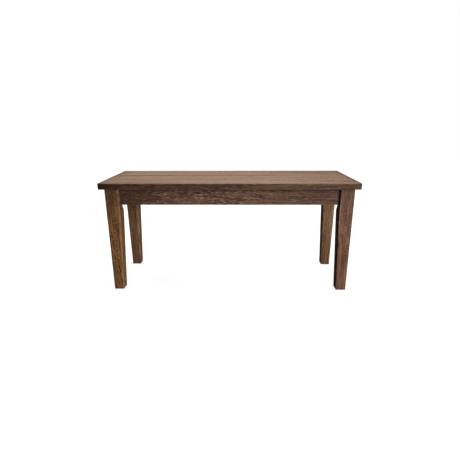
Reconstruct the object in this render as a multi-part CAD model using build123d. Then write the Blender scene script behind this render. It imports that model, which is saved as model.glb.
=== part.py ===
from build123d import *

import os
from math import atan, cos, degrees, pi, sqrt

# Backless bench in weathered hardwood: three seat boards on a frame of aprons, with four
# tapered legs that unbolt at the corners.
#
# Lengths are in millimetres. +X runs to the bench's right end, +Y to its back and +Z up. The
# origin lies on the floor, under the middle of the seat.
#
# The legs taper on their two inner faces only. At apron level the inner corner of each leg is
# cut to a flat, which a round cutter leaves in a curve just under the apron. A hanger bolt
# stands square to that flat and passes through a corner block, so that its nut draws the leg
# tight against the ends of both aprons. The seat is held down by wooden buttons, whose tongues
# sit in a groove along the aprons, and by a batten under its middle.

# Overall sizes
seat_length = 1000.0
seat_depth = 350.0
seat_height = 450.0
end_overhang = 17.0
front_overhang = 19.0

# Seat boards, glued edge to edge with a loose tongue in each joint
front_board_share = 0.27
back_board_share = 0.42
board_thickness = 24.0
board_round = 2.0
board_lower_bevel = 1.2
joint_bevel = 0.6
seat_tongue_thickness = 5.0
seat_tongue_width = 16.0
seat_tongue_stop = 45.0
seat_tongue_room = 0.5

# Legs
leg_section = 53.0
foot_section = 40.0
taper_drop = 38.0
leg_round = 2.0
inner_corner_bevel = 0.8
foot_bevel = 1.2
flat_cutter_radius = 48.0
flat_run_out_drop = 25.0

# Aprons
apron_height = 67.0
apron_thickness = 22.0
apron_setback = 16.0
apron_round = 1.5

# Corner blocks
block_thickness = 22.0
block_height = 48.0
block_drop = 8.0
block_leg_gap = 4.0
block_bevel = 1.0

# Hanger bolts, with their washers and nuts
bolt_diameter = 8.0
bolt_in_leg = 38.0
bolt_past_nut = 4.0
bolt_point_length = 6.0
bolt_hole_room = 0.5
washer_diameter = 17.0
washer_thickness = 1.6
washer_room = 0.4
nut_across_flats = 13.0
nut_thickness = 6.5

# Screws that hold the corner blocks to the aprons
block_screw_spread = 11.0
block_screw_reach = 14.0
block_screw_in_block = 8.0
block_screw_bite = 14.0

# Wood screws of all three kinds, kept to a few flat sides because there are many of them
screw_sides = 8
screw_diameter = 4.0
screw_head_diameter = 8.0
screw_head_height = 3.0
screw_point_length = 4.0
screw_tip_share = 0.2
screw_head_room = 0.4
seat_screw_bite = 13.0

# Wooden buttons that hold the seat down
button_width = 26.0
button_length = 30.0
button_lip = 10.0
tongue_thickness = 6.0
tongue_length = 7.0
button_standoff = 1.5
button_bevel = 1.0
groove_room = 0.5
groove_depth = 8.0
button_spread_share = 0.56

# Batten under the middle of the seat
batten_width = 60.0
batten_thickness = 20.0
batten_housing = 6.0
batten_bevel = 1.0
batten_slot_length = 10.0
batten_slot_room = 0.6
batten_screw_share = 0.9

# How far a cutting shape runs past what it cuts
overrun = 5.0

# Places that follow from the sizes
underside = seat_height - board_thickness
leg_outer_x = seat_length / 2 - end_overhang
leg_outer_y = seat_depth / 2 - front_overhang
leg_inner_x = leg_outer_x - leg_section
leg_inner_y = leg_outer_y - leg_section
apron_inset = apron_setback + apron_thickness
apron_inner_x = leg_outer_x - apron_inset
apron_inner_y = leg_outer_y - apron_inset
apron_bottom = underside - apron_height
taper_top = apron_bottom - taper_drop
board_middle_z = seat_height - board_thickness / 2
button_thickness = button_lip + tongue_thickness
groove_bottom = underside - button_thickness - groove_room
groove_height = tongue_thickness + groove_room

# Distances along a corner's diagonal, from the bench's middle towards the leg. The flat on the
# leg runs between the inner faces of the two aprons.
leg_corner_u = (leg_inner_x + leg_inner_y) / sqrt(2)
leg_flat_u = (apron_inner_x + leg_inner_y) / sqrt(2)
block_outer_u = leg_flat_u - block_leg_gap
block_inner_u = block_outer_u - block_thickness
block_end_x = block_inner_u * sqrt(2) - apron_inner_y
flat_middle_x = (leg_inner_x + apron_inner_x) / 2
flat_middle_y = (leg_inner_y + apron_inner_y) / 2
block_bottom = underside - block_drop - block_height
bolt_z = block_bottom + block_height / 2


def diagonal_plane(distance_u, height):
    """The plane across the back right corner's diagonal, with Z pointing into the leg."""
    shift = (distance_u - leg_flat_u) / sqrt(2)
    origin = (flat_middle_x + shift, flat_middle_y + shift, height)
    return Plane(origin=origin, x_dir=(1, -1, 0), z_dir=(1, 1, 0))


def turned(points):
    """A solid of revolution about Z, from the (radius, height) points of its half outline."""
    outline = Polyline(*[(radius, height) for radius, height in points], close=True)
    return revolve(Plane.XZ * make_face(outline), Axis.Z)


def box_between(low, high):
    """A box from one corner to the opposite one."""
    size = [top - bottom for bottom, top in zip(low, high)]
    middle = [(top + bottom) / 2 for bottom, top in zip(low, high)]
    return Pos(*middle) * Box(*size)


def at_four_corners(piece):
    """The piece of the back right corner and its mirror images, keyed by corner."""
    back_left = mirror(piece, about=Plane.YZ)
    return {
        "back_right": piece,
        "back_left": back_left,
        "front_right": mirror(piece, about=Plane.XZ),
        "front_left": mirror(back_left, about=Plane.XZ),
    }


def side_on():
    """The upright plane through the back right diagonal, its X outward from the leg's flat."""
    origin = (flat_middle_x, flat_middle_y, 0)
    return Plane(origin=origin, x_dir=(1, 1, 0), z_dir=(1, -1, 0))


def across_diagonal(piece):
    """The piece's mirror image in the upright plane along the back right diagonal."""
    return mirror(piece, about=side_on())


def group(pieces):
    """Separate solids that share one node."""
    return Compound(children=[solid for piece in pieces for solid in piece.solids()])


def cut_by(piece, cutters):
    """The piece with every cutter taken out of it."""
    for cutter in cutters:
        piece = piece - cutter
    return piece


# Fasteners


def many_sided(sections):
    """A solid with flat sides along Z, through (radius, height) sections from low to high."""
    solids = []
    for (radius, low), (next_radius, high) in zip(sections, sections[1:]):
        inward = (radius - next_radius) * cos(pi / screw_sides)
        slope = degrees(atan(inward / (high - low)))
        outline = Pos(0, 0, low) * RegularPolygon(radius, screw_sides)
        solids.append(extrude(outline, high - low, taper=slope))
    return solids[0].fuse(*solids[1:])


def screw_shank(start, length):
    """A screw's shank and point, from the height start to the screw's full length."""
    radius = screw_diameter / 2
    return [
        (radius, start),
        (radius, length - screw_point_length),
        (screw_tip_share * radius, length),
    ]


def countersunk_screw(length):
    """A screw along +Z, its flat head flush with the origin's plane."""
    head = (screw_head_diameter / 2, 0)
    return many_sided([head] + screw_shank(screw_head_height, length))


def pan_screw(length):
    """A screw along +Z, its domed head bearing on the origin's plane from below."""
    radius = screw_head_diameter / 2
    head = [(radius, 0), (radius, screw_head_height / 2), (radius / 2, screw_head_height)]
    return (Rot(X=180) * many_sided(head)).fuse(many_sided(screw_shank(0, length)))


def hanger_bolt():
    """The back right bolt: its pointed end in the leg, its other end past the nut."""
    radius = bolt_diameter / 2
    in_block = block_leg_gap + block_thickness
    tail = in_block + washer_thickness + nut_thickness + bolt_past_nut
    outline = [
        (0, -tail),
        (radius, -tail),
        (radius, bolt_in_leg - bolt_point_length),
        (0, bolt_in_leg),
    ]
    return diagonal_plane(leg_flat_u, bolt_z) * turned(outline)


def bolt_washer():
    """The flat washer on the back right block's inner face."""
    disc = Cylinder(washer_diameter / 2, washer_thickness)
    hole = Cylinder(bolt_diameter / 2 + washer_room, washer_thickness + 2 * overrun)
    middle_u = block_inner_u - washer_thickness / 2
    return diagonal_plane(middle_u, bolt_z) * (disc - hole)


def bolt_nut():
    """The back right hexagon nut."""
    half = nut_thickness / 2
    hexagon = RegularPolygon(nut_across_flats / 2, 6, major_radius=False)
    prism = extrude(hexagon, half, both=True)
    bore = Cylinder(bolt_diameter / 2, nut_thickness + 2 * overrun)
    middle_u = block_inner_u - washer_thickness - half
    return diagonal_plane(middle_u, bolt_z) * (prism - bore)


def block_screw_places():
    """Where the two screws into the back apron have their heads' bearing faces."""
    x = block_end_x + block_screw_reach
    y = apron_inner_y - block_screw_in_block
    return [Pos(x, y, bolt_z + side * block_screw_spread) for side in (-1, 1)]


def block_corner_screws():
    """The four screws of the back right block, two into each apron."""
    screw = Rot(X=-90) * pan_screw(block_screw_in_block + block_screw_bite)
    into_back = [place * screw for place in block_screw_places()]
    return into_back + [across_diagonal(screw) for screw in into_back]


def block_screw_pockets():
    """The four bores in which the block screws' heads sit."""
    radius = screw_head_diameter / 2 + screw_head_room
    depth = block_thickness + overrun
    bore = Rot(X=90) * many_sided([(radius, 0), (radius, depth)])
    into_back = [place * bore for place in block_screw_places()]
    return into_back + [across_diagonal(bore) for bore in into_back]


# Seat


def board_edges():
    """The Y positions of the boards' edges, from the front of the seat to its back."""
    front = -seat_depth / 2
    back = seat_depth / 2
    front_joint = front + front_board_share * seat_depth
    back_joint = back - back_board_share * seat_depth
    return [front, front_joint, back_joint, back]


def joint_strips(width, length):
    """A flat strip across each joint, in the middle of the boards' thickness."""
    strip = Box(length, width, seat_tongue_thickness)
    return [Pos(0, joint_y, board_middle_z) * strip for joint_y in board_edges()[1:-1]]


def seat_tongues():
    """The loose tongues, which stop short of the seat's ends and so don't show."""
    return joint_strips(seat_tongue_width, seat_length - 2 * seat_tongue_stop)


def tongue_grooves():
    """The stopped grooves for the tongues, with a little room for glue all round."""
    stop = seat_tongue_stop - seat_tongue_room
    return joint_strips(seat_tongue_width + 2 * seat_tongue_room, seat_length - 2 * stop)


def joint_grooves():
    """Long square bars on edge that bevel the boards' upper arrises at both joints."""
    side = joint_bevel * sqrt(2)
    bar = Rot(X=45) * Box(seat_length + 2 * overrun, side, side)
    return [Pos(0, joint_y, seat_height) * bar for joint_y in board_edges()[1:-1]]


def seat_boards():
    """The three boards, cut from one rounded slab, keyed by place."""
    slab = Pos(0, 0, board_middle_z) * Box(seat_length, seat_depth, board_thickness)
    lower = slab.edges().group_by(Axis.Z)[0]
    slab = fillet([edge for edge in slab.edges() if edge not in lower], board_round)
    slab = chamfer(slab.faces().sort_by(Axis.Z)[0].edges(), board_lower_bevel)
    cutters = joint_grooves() + tongue_grooves() + button_screws() + batten_screws()
    half_length = seat_length / 2 + overrun
    edges = board_edges()
    boards = {}
    for name, front_y, back_y in zip(("front", "middle", "back"), edges, edges[1:]):
        low = (-half_length, front_y, underside - overrun)
        high = (half_length, back_y, seat_height + overrun)
        boards[name] = cut_by(slab & box_between(low, high), cutters)
    return boards


# Legs


def taper_outline(outer, inner, foot_inner):
    """A leg's side outline as (across, height) points, upright outside and tapered inside."""
    return [
        (outer, 0),
        (outer, underside),
        (inner, underside),
        (inner, taper_top),
        (foot_inner, 0),
    ]


def tapered_leg():
    """The back right leg, its arrises rounded but for the one at the inner corner."""
    from_front = taper_outline(leg_outer_x, leg_inner_x, leg_outer_x - foot_section)
    from_end = taper_outline(leg_outer_y, leg_inner_y, leg_outer_y - foot_section)
    reach = leg_outer_y + overrun
    front_face = Plane.XZ * make_face(Polyline(*from_front, close=True))
    end_face = Plane.YZ * make_face(Polyline(*from_end, close=True))
    leg = extrude(front_face, -reach) & extrude(end_face, leg_outer_x + overrun)
    outer_edges = []
    for edge in leg.edges().filter_by(lambda edge: edge.bounding_box().size.Z > leg_round):
        low = edge.bounding_box().min
        if low.X > leg_outer_x - leg_round or low.Y > leg_outer_y - leg_round:
            outer_edges.append(edge)
    leg = fillet(outer_edges, leg_round)
    return chamfer(leg.faces().sort_by(Axis.Z)[0].edges(), foot_bevel)


def flat_cutter():
    """The shape that a round cutter clears from the inner corner of the back right leg."""
    depth = leg_flat_u - leg_corner_u
    curve_height = sqrt(flat_cutter_radius**2 - (flat_cutter_radius - depth) ** 2)
    flat_end = apron_bottom - flat_run_out_drop + curve_height
    top = underside + overrun
    middle = Pos(-flat_cutter_radius, (flat_end + top) / 2)
    path = middle * Rectangle(2 * flat_cutter_radius, top - flat_end)
    path += Pos(-flat_cutter_radius, flat_end) * Circle(flat_cutter_radius)
    return extrude(side_on() * path, leg_section, both=True)


def corner_bevel_cutter():
    """The shape that bevels the inner corner of the back right leg down its whole length."""
    across = leg_corner_u - leg_flat_u
    foot_across = across + (leg_section - foot_section) * sqrt(2)
    path = [
        (across - leg_section, underside),
        (across + inner_corner_bevel, underside),
        (across + inner_corner_bevel, taper_top),
        (foot_across + inner_corner_bevel, 0),
        (across - leg_section, 0),
    ]
    return extrude(side_on() * make_face(Polyline(*path, close=True)), leg_section, both=True)


def leg():
    """The back right leg, cut for the flat and bored for its bolt."""
    return cut_by(tapered_leg(), [corner_bevel_cutter(), flat_cutter(), hanger_bolt()])


# Aprons


def apron(half_length, inner_y):
    """An apron along X behind the line inner_y, grooved for the buttons."""
    outer_y = inner_y + apron_thickness
    rail = box_between((-half_length, inner_y, apron_bottom), (half_length, outer_y, underside))
    lower = rail.faces().sort_by(Axis.Z)[0].edges().filter_by(Axis.X)
    groove = box_between(
        (-half_length - overrun, inner_y - overrun, groove_bottom),
        (half_length + overrun, inner_y + groove_depth, groove_bottom + groove_height),
    )
    return fillet(lower, apron_round) - groove


def aprons():
    """The four aprons, keyed by side."""
    housing = box_between(
        (-batten_width / 2, apron_inner_y - overrun, underside - batten_thickness),
        (batten_width / 2, apron_inner_y + batten_housing, underside + overrun),
    )
    back = apron(leg_inner_x, apron_inner_y) - housing
    right = Rot(Z=-90) * apron(leg_inner_y, apron_inner_x)
    sides = {
        "front": mirror(back, about=Plane.XZ),
        "back": back,
        "left": mirror(right, about=Plane.YZ),
        "right": right,
    }
    screws = [at_four_corners(screw).values() for screw in block_corner_screws()]
    cutters = [copy for copies in screws for copy in copies]
    return {side: cut_by(rail, cutters) for side, rail in sides.items()}


# Corner blocks


def corner_block():
    """The back right corner block, mitred against the inner faces of both aprons."""
    outer_sum = block_outer_u * sqrt(2)
    inner_sum = block_inner_u * sqrt(2)
    plan = [
        (inner_sum - apron_inner_y, apron_inner_y),
        (outer_sum - apron_inner_y, apron_inner_y),
        (apron_inner_x, outer_sum - apron_inner_x),
        (apron_inner_x, inner_sum - apron_inner_x),
    ]
    outline = make_face(Polyline(*plan, close=True))
    block = extrude(Pos(0, 0, block_bottom) * outline, block_height)
    inner_face = block.faces().sort_by(Axis((0, 0, 0), (1, 1, 0)))[0]
    upright = inner_face.edges().filter_by(Axis.Z)
    block = chamfer([edge for edge in inner_face.edges() if edge not in upright], block_bevel)
    bolt_bore = Cylinder(bolt_diameter / 2 + bolt_hole_room, 2 * block_thickness)
    middle_u = (block_outer_u + block_inner_u) / 2
    cutters = [diagonal_plane(middle_u, bolt_z) * bolt_bore]
    return cut_by(block, cutters + block_screw_pockets() + block_corner_screws())


# Buttons and batten


def button():
    """A wooden button under the middle of the back apron, its tongue in the groove."""
    bottom = underside - button_thickness
    shoulder_y = apron_inner_y - button_standoff
    half_width = button_width / 2
    body = box_between(
        (-half_width, shoulder_y - button_length, bottom),
        (half_width, shoulder_y, underside),
    )
    body = chamfer(body.faces().sort_by(Axis.Y)[0].edges(), button_bevel)
    tongue = box_between(
        (-half_width, shoulder_y, bottom),
        (half_width, shoulder_y + tongue_length, bottom + tongue_thickness),
    )
    return body + tongue


def button_screw():
    """The screw of a button under the middle of the back apron."""
    y = apron_inner_y - button_standoff - button_length / 2
    screw = countersunk_screw(button_thickness + seat_screw_bite)
    return Pos(0, y, underside - button_thickness) * screw


def at_all_buttons(piece):
    """Copies of a middle back piece at every button: two on long aprons, one on end aprons."""
    spread = button_spread_share * leg_inner_x
    along_back = [Pos(side * spread, 0, 0) * piece for side in (-1, 1)]
    along_front = [mirror(copy, about=Plane.XZ) for copy in along_back]
    at_right = Rot(Z=-90) * Pos(0, apron_inner_x - apron_inner_y, 0) * piece
    return along_back + along_front + [at_right, mirror(at_right, about=Plane.YZ)]


def button_screws():
    return at_all_buttons(button_screw())


def batten_screw_spread():
    """How far the batten's outer screws stand from its middle."""
    return batten_screw_share * apron_inner_y


def batten_screws():
    """Three screws up through the batten, one into each seat board."""
    screw = pan_screw(batten_thickness + seat_screw_bite)
    spread = batten_screw_spread()
    return [Pos(0, side * spread, underside - batten_thickness) * screw for side in (-1, 0, 1)]


def batten():
    """The batten across the seat's middle, let into both long aprons.

    Its outer screws stand in slots, which leave the boards free to swell and shrink.
    """
    half_length = apron_inner_y + batten_housing
    bar = box_between(
        (-batten_width / 2, -half_length, underside - batten_thickness),
        (batten_width / 2, half_length, underside),
    )
    lower = bar.faces().sort_by(Axis.Z)[0].edges().filter_by(Axis.Y)
    bar = chamfer(lower, batten_bevel)
    middle_z = underside - batten_thickness / 2
    outline = SlotOverall(batten_slot_length, screw_diameter + batten_slot_room, rotation=90)
    slot = extrude(outline, batten_thickness, both=True)
    spread = batten_screw_spread()
    slots = [Pos(0, side * spread, middle_z) * slot for side in (-1, 1)]
    return cut_by(bar, slots + [batten_screws()[1]])


def all_parts():
    """Every node's shape, keyed by its name."""
    parts = {}
    for place, board in seat_boards().items():
        parts[f"seat_board_{place}"] = board
    for side, rail in aprons().items():
        parts[f"apron_{side}"] = rail
    for corner, piece in at_four_corners(leg()).items():
        parts[f"leg_{corner}"] = piece
    for corner, piece in at_four_corners(corner_block()).items():
        parts[f"corner_block_{corner}"] = piece
    parts["seat_batten"] = batten()
    parts["seat_buttons"] = group(at_all_buttons(cut_by(button(), [button_screw()])))
    parts["seat_button_screws"] = group(button_screws())
    parts["seat_batten_screws"] = group(batten_screws())
    parts["seat_tongues"] = group(seat_tongues())
    corner_sets = {
        "corner_block_screws": block_corner_screws(),
        "hanger_bolts": [hanger_bolt()],
        "hanger_bolt_washers": [bolt_washer()],
        "hanger_bolt_nuts": [bolt_nut()],
    }
    for name, pieces in corner_sets.items():
        copies = [copy for piece in pieces for copy in at_four_corners(piece).values()]
        parts[name] = group(copies)
    return parts


os.makedirs("parts", exist_ok=True)
for name, shape in all_parts().items():
    export_step(shape, f"parts/{name}.step")
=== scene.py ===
import math
import random

import bmesh
import bpy
import numpy as np
from mathutils import Matrix, Vector
from mathutils import noise
from mathutils.kdtree import KDTree


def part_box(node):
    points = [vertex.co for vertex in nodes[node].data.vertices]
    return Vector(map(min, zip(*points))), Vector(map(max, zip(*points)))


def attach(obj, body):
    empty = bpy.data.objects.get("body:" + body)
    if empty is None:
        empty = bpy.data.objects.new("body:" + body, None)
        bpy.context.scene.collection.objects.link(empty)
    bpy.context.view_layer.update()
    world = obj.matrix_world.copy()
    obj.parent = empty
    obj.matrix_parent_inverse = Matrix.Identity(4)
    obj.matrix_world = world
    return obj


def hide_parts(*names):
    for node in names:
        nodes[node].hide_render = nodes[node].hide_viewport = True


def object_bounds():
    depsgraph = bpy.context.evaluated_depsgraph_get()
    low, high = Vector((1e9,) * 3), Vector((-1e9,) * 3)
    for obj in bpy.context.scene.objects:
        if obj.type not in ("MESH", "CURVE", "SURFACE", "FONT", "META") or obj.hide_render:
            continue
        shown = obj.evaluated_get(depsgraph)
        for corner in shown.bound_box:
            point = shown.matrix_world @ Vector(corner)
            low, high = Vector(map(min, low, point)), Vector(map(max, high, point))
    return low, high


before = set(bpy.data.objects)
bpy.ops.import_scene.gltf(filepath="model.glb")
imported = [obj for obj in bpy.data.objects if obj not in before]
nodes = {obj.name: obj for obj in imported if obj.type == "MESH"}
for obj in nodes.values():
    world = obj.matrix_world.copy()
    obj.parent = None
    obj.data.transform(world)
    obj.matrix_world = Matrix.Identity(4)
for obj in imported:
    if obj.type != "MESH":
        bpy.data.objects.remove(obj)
cad_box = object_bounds()

mm = 0.001
body = "root"
slant = 1 / math.sqrt(2)

# Places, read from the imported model

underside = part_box("seat_board_front")[0].z
seat_low = Vector((cad_box[0].x, cad_box[0].y, underside))
seat_high = cad_box[1]
apron_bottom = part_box("apron_back")[0].z
leg_low, leg_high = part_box("leg_back_right")
batten_low, batten_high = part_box("seat_batten")
tongue_low, tongue_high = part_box("seat_tongues")

# Shapes of the boards, aprons and legs

seat_arris = 2.0 * mm
seat_arris_most = 3.2 * mm
seat_arris_waver = 0.25
seat_arris_waver_middle = 0.3
joint_bevel = 0.6 * mm
tongue_groove_depth = 8.5 * mm
tongue_groove_room = 0.5 * mm
tongue_bevel = 0.2 * mm
inner_bevel = 0.3 * mm
apron_arris = 1.5 * mm
groove_drop = 10.0 * mm
groove_height = 6.5 * mm
groove_depth = 8.0 * mm
leg_arris = 2.0 * mm
leg_corner_bevel = 0.8 * mm
foot_section = 40.0 * mm
foot_round = 1.2 * mm
foot_round_shares = (0, 0.15, 0.5)
taper_drop = 38.0 * mm
flat_depth = 15.0 * mm * slant
flat_run_out_drop = 25.0 * mm
flat_cutter_radius = 48.0 * mm

taper_top = apron_bottom - taper_drop
flat_rise = math.sqrt(flat_cutter_radius**2 - (flat_cutter_radius - flat_depth) ** 2)
flat_end = apron_bottom - flat_run_out_drop + flat_rise
groove_high = underside - groove_drop
groove_low = groove_high - groove_height

# Sizes of the fasteners

bolt_radius = 4.0 * mm
bolt_point_length = 6.0 * mm
bolt_end_share = 0.6
point_share = 0.05
thread_pitch = 1.25 * mm
thread_depth = 0.6 * mm
threaded_length = 16.0 * mm
nut_across_flats = 13.0 * mm
nut_bore_lip = 0.3 * mm
nut_chamfer_share = 0.97
nut_chamfer_angle = math.radians(30)
washer_outer_radius = 8.5 * mm
washer_inner_radius = 4.4 * mm
washer_ease = 0.2 * mm
screw_radius = 2.0 * mm
screw_head_radius = 4.0 * mm
screw_head_height = 3.0 * mm
screw_point_length = 4.0 * mm
screw_head_middle = 0.1 * mm
screw_head_step = 0.35 * mm
pan_head_edge = 1.3 * mm
pan_head_roundness = 0.98
cross_reach = 2.3 * mm
cross_half_width = 0.6 * mm
cross_depth = 1.5 * mm
cross_wall_start = 1.6
cross_end_steepness = 1.5

# How finely each piece is divided

arris_steps = 3
along_step = 5.0 * mm
across_step = 9.0 * mm
inner_step = 8.0 * mm
run_out_step = 2.0 * mm
end_step = 1.0 * mm
same_place = 0.2 * mm
same_corner = 0.01 * mm
corner_flat_steps = 4
thread_steps = 4
round_sides = 24
head_sides = 32
flat_turn = math.radians(1)
sharp_turn = math.radians(6)
shading_turn = math.radians(32)
corner_turn = math.radians(40)

# Wear

plane_marks = 0.12 * mm
plane_marks_inside = 0.05 * mm
plane_mark_size = 55.0 * mm
plane_mark_stretch = 0.35
arris_loss = 0.2 * mm
arris_loss_size = 26.0 * mm
worn_reach = 1.5 * mm
worn_least = 0.55
on_arris_share = 0.9
knock_count = 4
knock_reach = 4.0 * mm
knock_reach_shares = (0.5, 1.3)
knock_depth = 0.35 * mm
knock_depth_shares = (0.3, 1)
pattern_reach = 40
seat_pattern_reach = 50

# Tones of the seat: grime in the joints, painted shade along the ends and back, and a worn film
# with painted sheen on top
# A fade says where it starts, where it is full and, where that isn't 1, how strong it is

joint_step = 3.0 * mm
front_joint_dirt = 1.3 * mm
back_joint_dirt = 4.0 * mm
joint_dirt_least = 0.25
joint_dirt_from_right = (0.36, 0.2)
joint_dirt_from_left = (-0.48, -0.38)
border_reach = 12.0 * mm
border_painted_shade = 0.52
border_wear_loss = 0.8
# Where the worn film and its painted sheen lie thinner on the seat's top
film_sheen_edge_share = 0.4
thin_film_sheen_reach = 9.0 * mm
thin_film_sheen_share = 0.65
no_thin_film_sheen_front = (-0.2, -0.08, 0.1)
film_sheen_side_reach = 45.0 * mm
film_sheen_side_loss = 0.2
film_sheen_right_loss = (0.05, 0.4, 0.28)
film_sheen_back = (0.02, 0.05)
film_sheen_back_loss = 0.1
film_sheen_back_right_loss = (0.1, 0.3, 0.08)
front_edge_only = (3.0 * mm, 1.0 * mm)
front_edge_upper = (9.0 * mm, 15.0 * mm)
dark_left_end = (-0.38, -0.49, 0.85)
dark_upper_left = (0.0, -0.1, 0.3)

# Tones of the front apron and the legs, with painted shade under the seat, beside the right leg
# and on the legs' inner faces

apron_dark_left = (-0.2, -0.39, 0.42)
apron_dark_right = (0.12, 0.3, 0.25)
# Painted shade under the seat's overhang and in the gap beside the right leg
apron_shade_under_seat = (36.0 * mm, 1.0 * mm, 0.22)
apron_shade_by_leg = (9.0 * mm, 3.0 * mm, 0.95)
apron_plain_right = (0.0, 0.2, 0.6)
apron_plain_left = (-0.33, -0.4, 0.35)
leg_under_seat = (0.26, 0.4)
leg_faces_in = (0.5, 0.9)
# Painted shade on the legs: under the seat, low on the back legs and on the faces turned inwards
leg_front_shade = 0.45
leg_back_foot_shade = (0.2, 0.05, 0.28)
leg_outer_wear = 0.4
leg_inner_wear = 0.8
leg_foot_wear = 0.35
leg_above_foot = (0.2, 0.3)
leg_top_wear_loss = (0.35, 0.4, 0.7)
leg_inner_top_loss = 0.5
leg_inner_shade = {"front_left": 0.2, "front_right": 0.72, "back_left": 0.06, "back_right": 0.4}


# Meshes


def unlike(name, low, high, count=1):
    """Numbers between low and high that are always the same for one name."""
    dice = random.Random(name)
    drawn = [dice.uniform(low, high) for _ in range(count)]
    return drawn[0] if count == 1 else drawn


def uneven(points, size, offset):
    """A smooth random number from 0 to 1 at each point, with bumps of about this size."""
    shift = Vector((offset, -offset, offset / 2))
    heights = [noise.noise(Vector(point) / size + shift) for point in points]
    return np.clip(np.array(heights) + 0.5, 0, 1)


def eased(values, start, end, most=1):
    """Goes smoothly from 0 to most as the values go from start to end, which may be lower."""
    share = np.clip((values - start) / (end - start), 0, 1)
    return most * (share * share * (3 - 2 * share))


def close_to(gaps, reach):
    """1 where the gap is 0, falling smoothly towards 0 beyond this reach."""
    return np.exp(-((gaps / reach) ** 2))


def steps(low, high, longest):
    """Even positions from low to high, none further apart than longest."""
    rounding_error = 1e-6
    count = max(1, math.ceil((high - low) / longest - rounding_error))
    return list(np.linspace(low, high, count + 1))


def eased_steps(low, high, longest, ease):
    """Positions from low to high, close together where the arrises are rounded."""
    turn = math.radians(45) / arris_steps
    near = [ease * math.tan(turn * step) for step in range(arris_steps)]
    first = [low + gap for gap in near]
    last = [high - gap for gap in reversed(near)]
    return first + steps(low + ease, high - ease, longest) + last


def in_order(positions):
    """All these positions from low to high, without those that lie on another."""
    kept = []
    for position in sorted(positions):
        if not kept or position - kept[-1] > same_place:
            kept.append(position)
    return kept


def middles(cuts):
    """The X, Y and Z of the middle of every cell between these cuts."""
    between = [(np.array(row[1:]) + np.array(row[:-1])) / 2 for row in cuts]
    return np.meshgrid(*between, indexing="ij")


def cell_shell(cuts, filled):
    """The points and four-sided faces round the filled cells between cuts along X, Y and Z."""
    padded = np.pad(filled, 1)
    points = []
    found = {}
    faces = []

    def point_at(place):
        if place not in found:
            found[place] = len(points)
            points.append([cuts[axis][place[axis]] for axis in range(3)])
        return found[place]

    for axis in range(3):
        second, third = [other for other in range(3) if other != axis]
        turned_up = np.moveaxis(padded, axis, 0)
        for side, i, j in np.argwhere(turned_up[1:] != turned_up[:-1]):
            face = []
            for a, b in ((i - 1, j - 1), (i, j - 1), (i, j), (i - 1, j)):
                place = {axis: int(side), second: int(a), third: int(b)}
                face.append(point_at((place[0], place[1], place[2])))
            faces.append(face)
    return np.array(points), faces


def rounded(points, low, high, radius):
    """Rounds the arrises of a box from low to high, by a radius that may differ by point."""
    nearly_nothing = 1e-12
    radius = np.asarray(radius).reshape(-1, 1)
    inner = np.clip(points, np.array(low) + radius, np.array(high) - radius)
    out = points - inner
    square = np.abs(out).max(axis=1, keepdims=True)
    length = np.maximum(np.linalg.norm(out, axis=1, keepdims=True), nearly_nothing)
    return inner + out * square / length


def bands(count, rows, closed=False):
    """Four-sided faces between rows of this many points, and back to the first if closed."""
    faces = []
    for row in range(rows if closed else rows - 1):
        here, there = row * count, (row + 1) % rows * count
        for step in range(count):
            after = (step + 1) % count
            faces.append([here + step, here + after, there + after, there + step])
    return faces


def lofted(rings):
    """The points and faces of a bar through these outlines, closed at both ends."""
    count = len(rings[0])
    points = np.concatenate(rings)
    faces = [list(range(count))] + bands(count, len(rings))
    faces.append(list(range(len(points) - count, len(points))))
    return points, faces


def side_angles(sides):
    """The direction of each side of a turned piece, round Z from X."""
    return np.arange(sides) * math.tau / sides


def turned(rows, sides=round_sides, hollow=False):
    """A piece round Z from (radius, height) rows, each a number or one for every side.

    A solid piece is closed on the axis at both ends, and a hollow one back to its first row.
    """
    angles = side_angles(sides)
    points = []
    for radius, height in rows:
        height = np.broadcast_to(height, sides)
        points.append(np.stack((radius * np.cos(angles), radius * np.sin(angles), height), 1))
    faces = bands(sides, len(rows), closed=hollow)
    if not hollow:
        last = (len(rows) - 1) * sides
        axis = len(rows) * sides
        points.append(np.array([(0, 0, np.mean(rows[0][1])), (0, 0, np.mean(rows[-1][1]))]))
        for step in range(sides):
            after = (step + 1) % sides
            faces.append([axis, step, after])
            faces.append([axis + 1, last + step, last + after])
    return np.concatenate(points), faces


def opened(mesh):
    """A mesh opened for work on its points, edges and faces."""
    work = bmesh.new()
    work.from_mesh(mesh)
    return work


def mesh_of(name, points, faces):
    """A mesh of these points and faces, every face turned outwards."""
    mesh = bpy.data.meshes.new(name)
    mesh.from_pydata([tuple(point) for point in points], [], faces)
    work = opened(mesh)
    bmesh.ops.recalc_face_normals(work, faces=work.faces)
    work.to_mesh(mesh)
    work.free()
    return mesh


def sliced(work, step):
    """Divides a mesh along X, Y and Z, so that no face of it is longer than this."""
    for axis in range(3):
        places = [vertex.co[axis] for vertex in work.verts]
        across = Vector([1.0 if other == axis else 0.0 for other in range(3)])
        for position in steps(min(places), max(places), step)[1:-1]:
            everything = list(work.verts) + list(work.edges) + list(work.faces)
            bmesh.ops.bisect_plane(
                work, geom=everything, dist=same_place / 10,
                plane_co=across * position, plane_no=across,
            )


def copied_mesh(node, bevel):
    """A node's own mesh, joined up, its coplanar faces merged and its arrises eased."""
    mesh = nodes[node].data.copy()
    mesh.materials.clear()
    work = opened(mesh)
    bmesh.ops.remove_doubles(work, verts=work.verts, dist=same_corner)
    bmesh.ops.dissolve_limit(work, angle_limit=flat_turn, verts=work.verts, edges=work.edges)
    sharp = [
        edge
        for edge in work.edges
        if len(edge.link_faces) == 2 and edge.calc_face_angle() > corner_turn
    ]
    bmesh.ops.bevel(
        work, geom=sharp, offset=bevel, segments=2, profile=0.5,
        affect="EDGES", clamp_overlap=True,
    )
    sliced(work, inner_step)
    bmesh.ops.recalc_face_normals(work, faces=work.faces)
    work.to_mesh(mesh)
    work.free()
    return mesh


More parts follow.
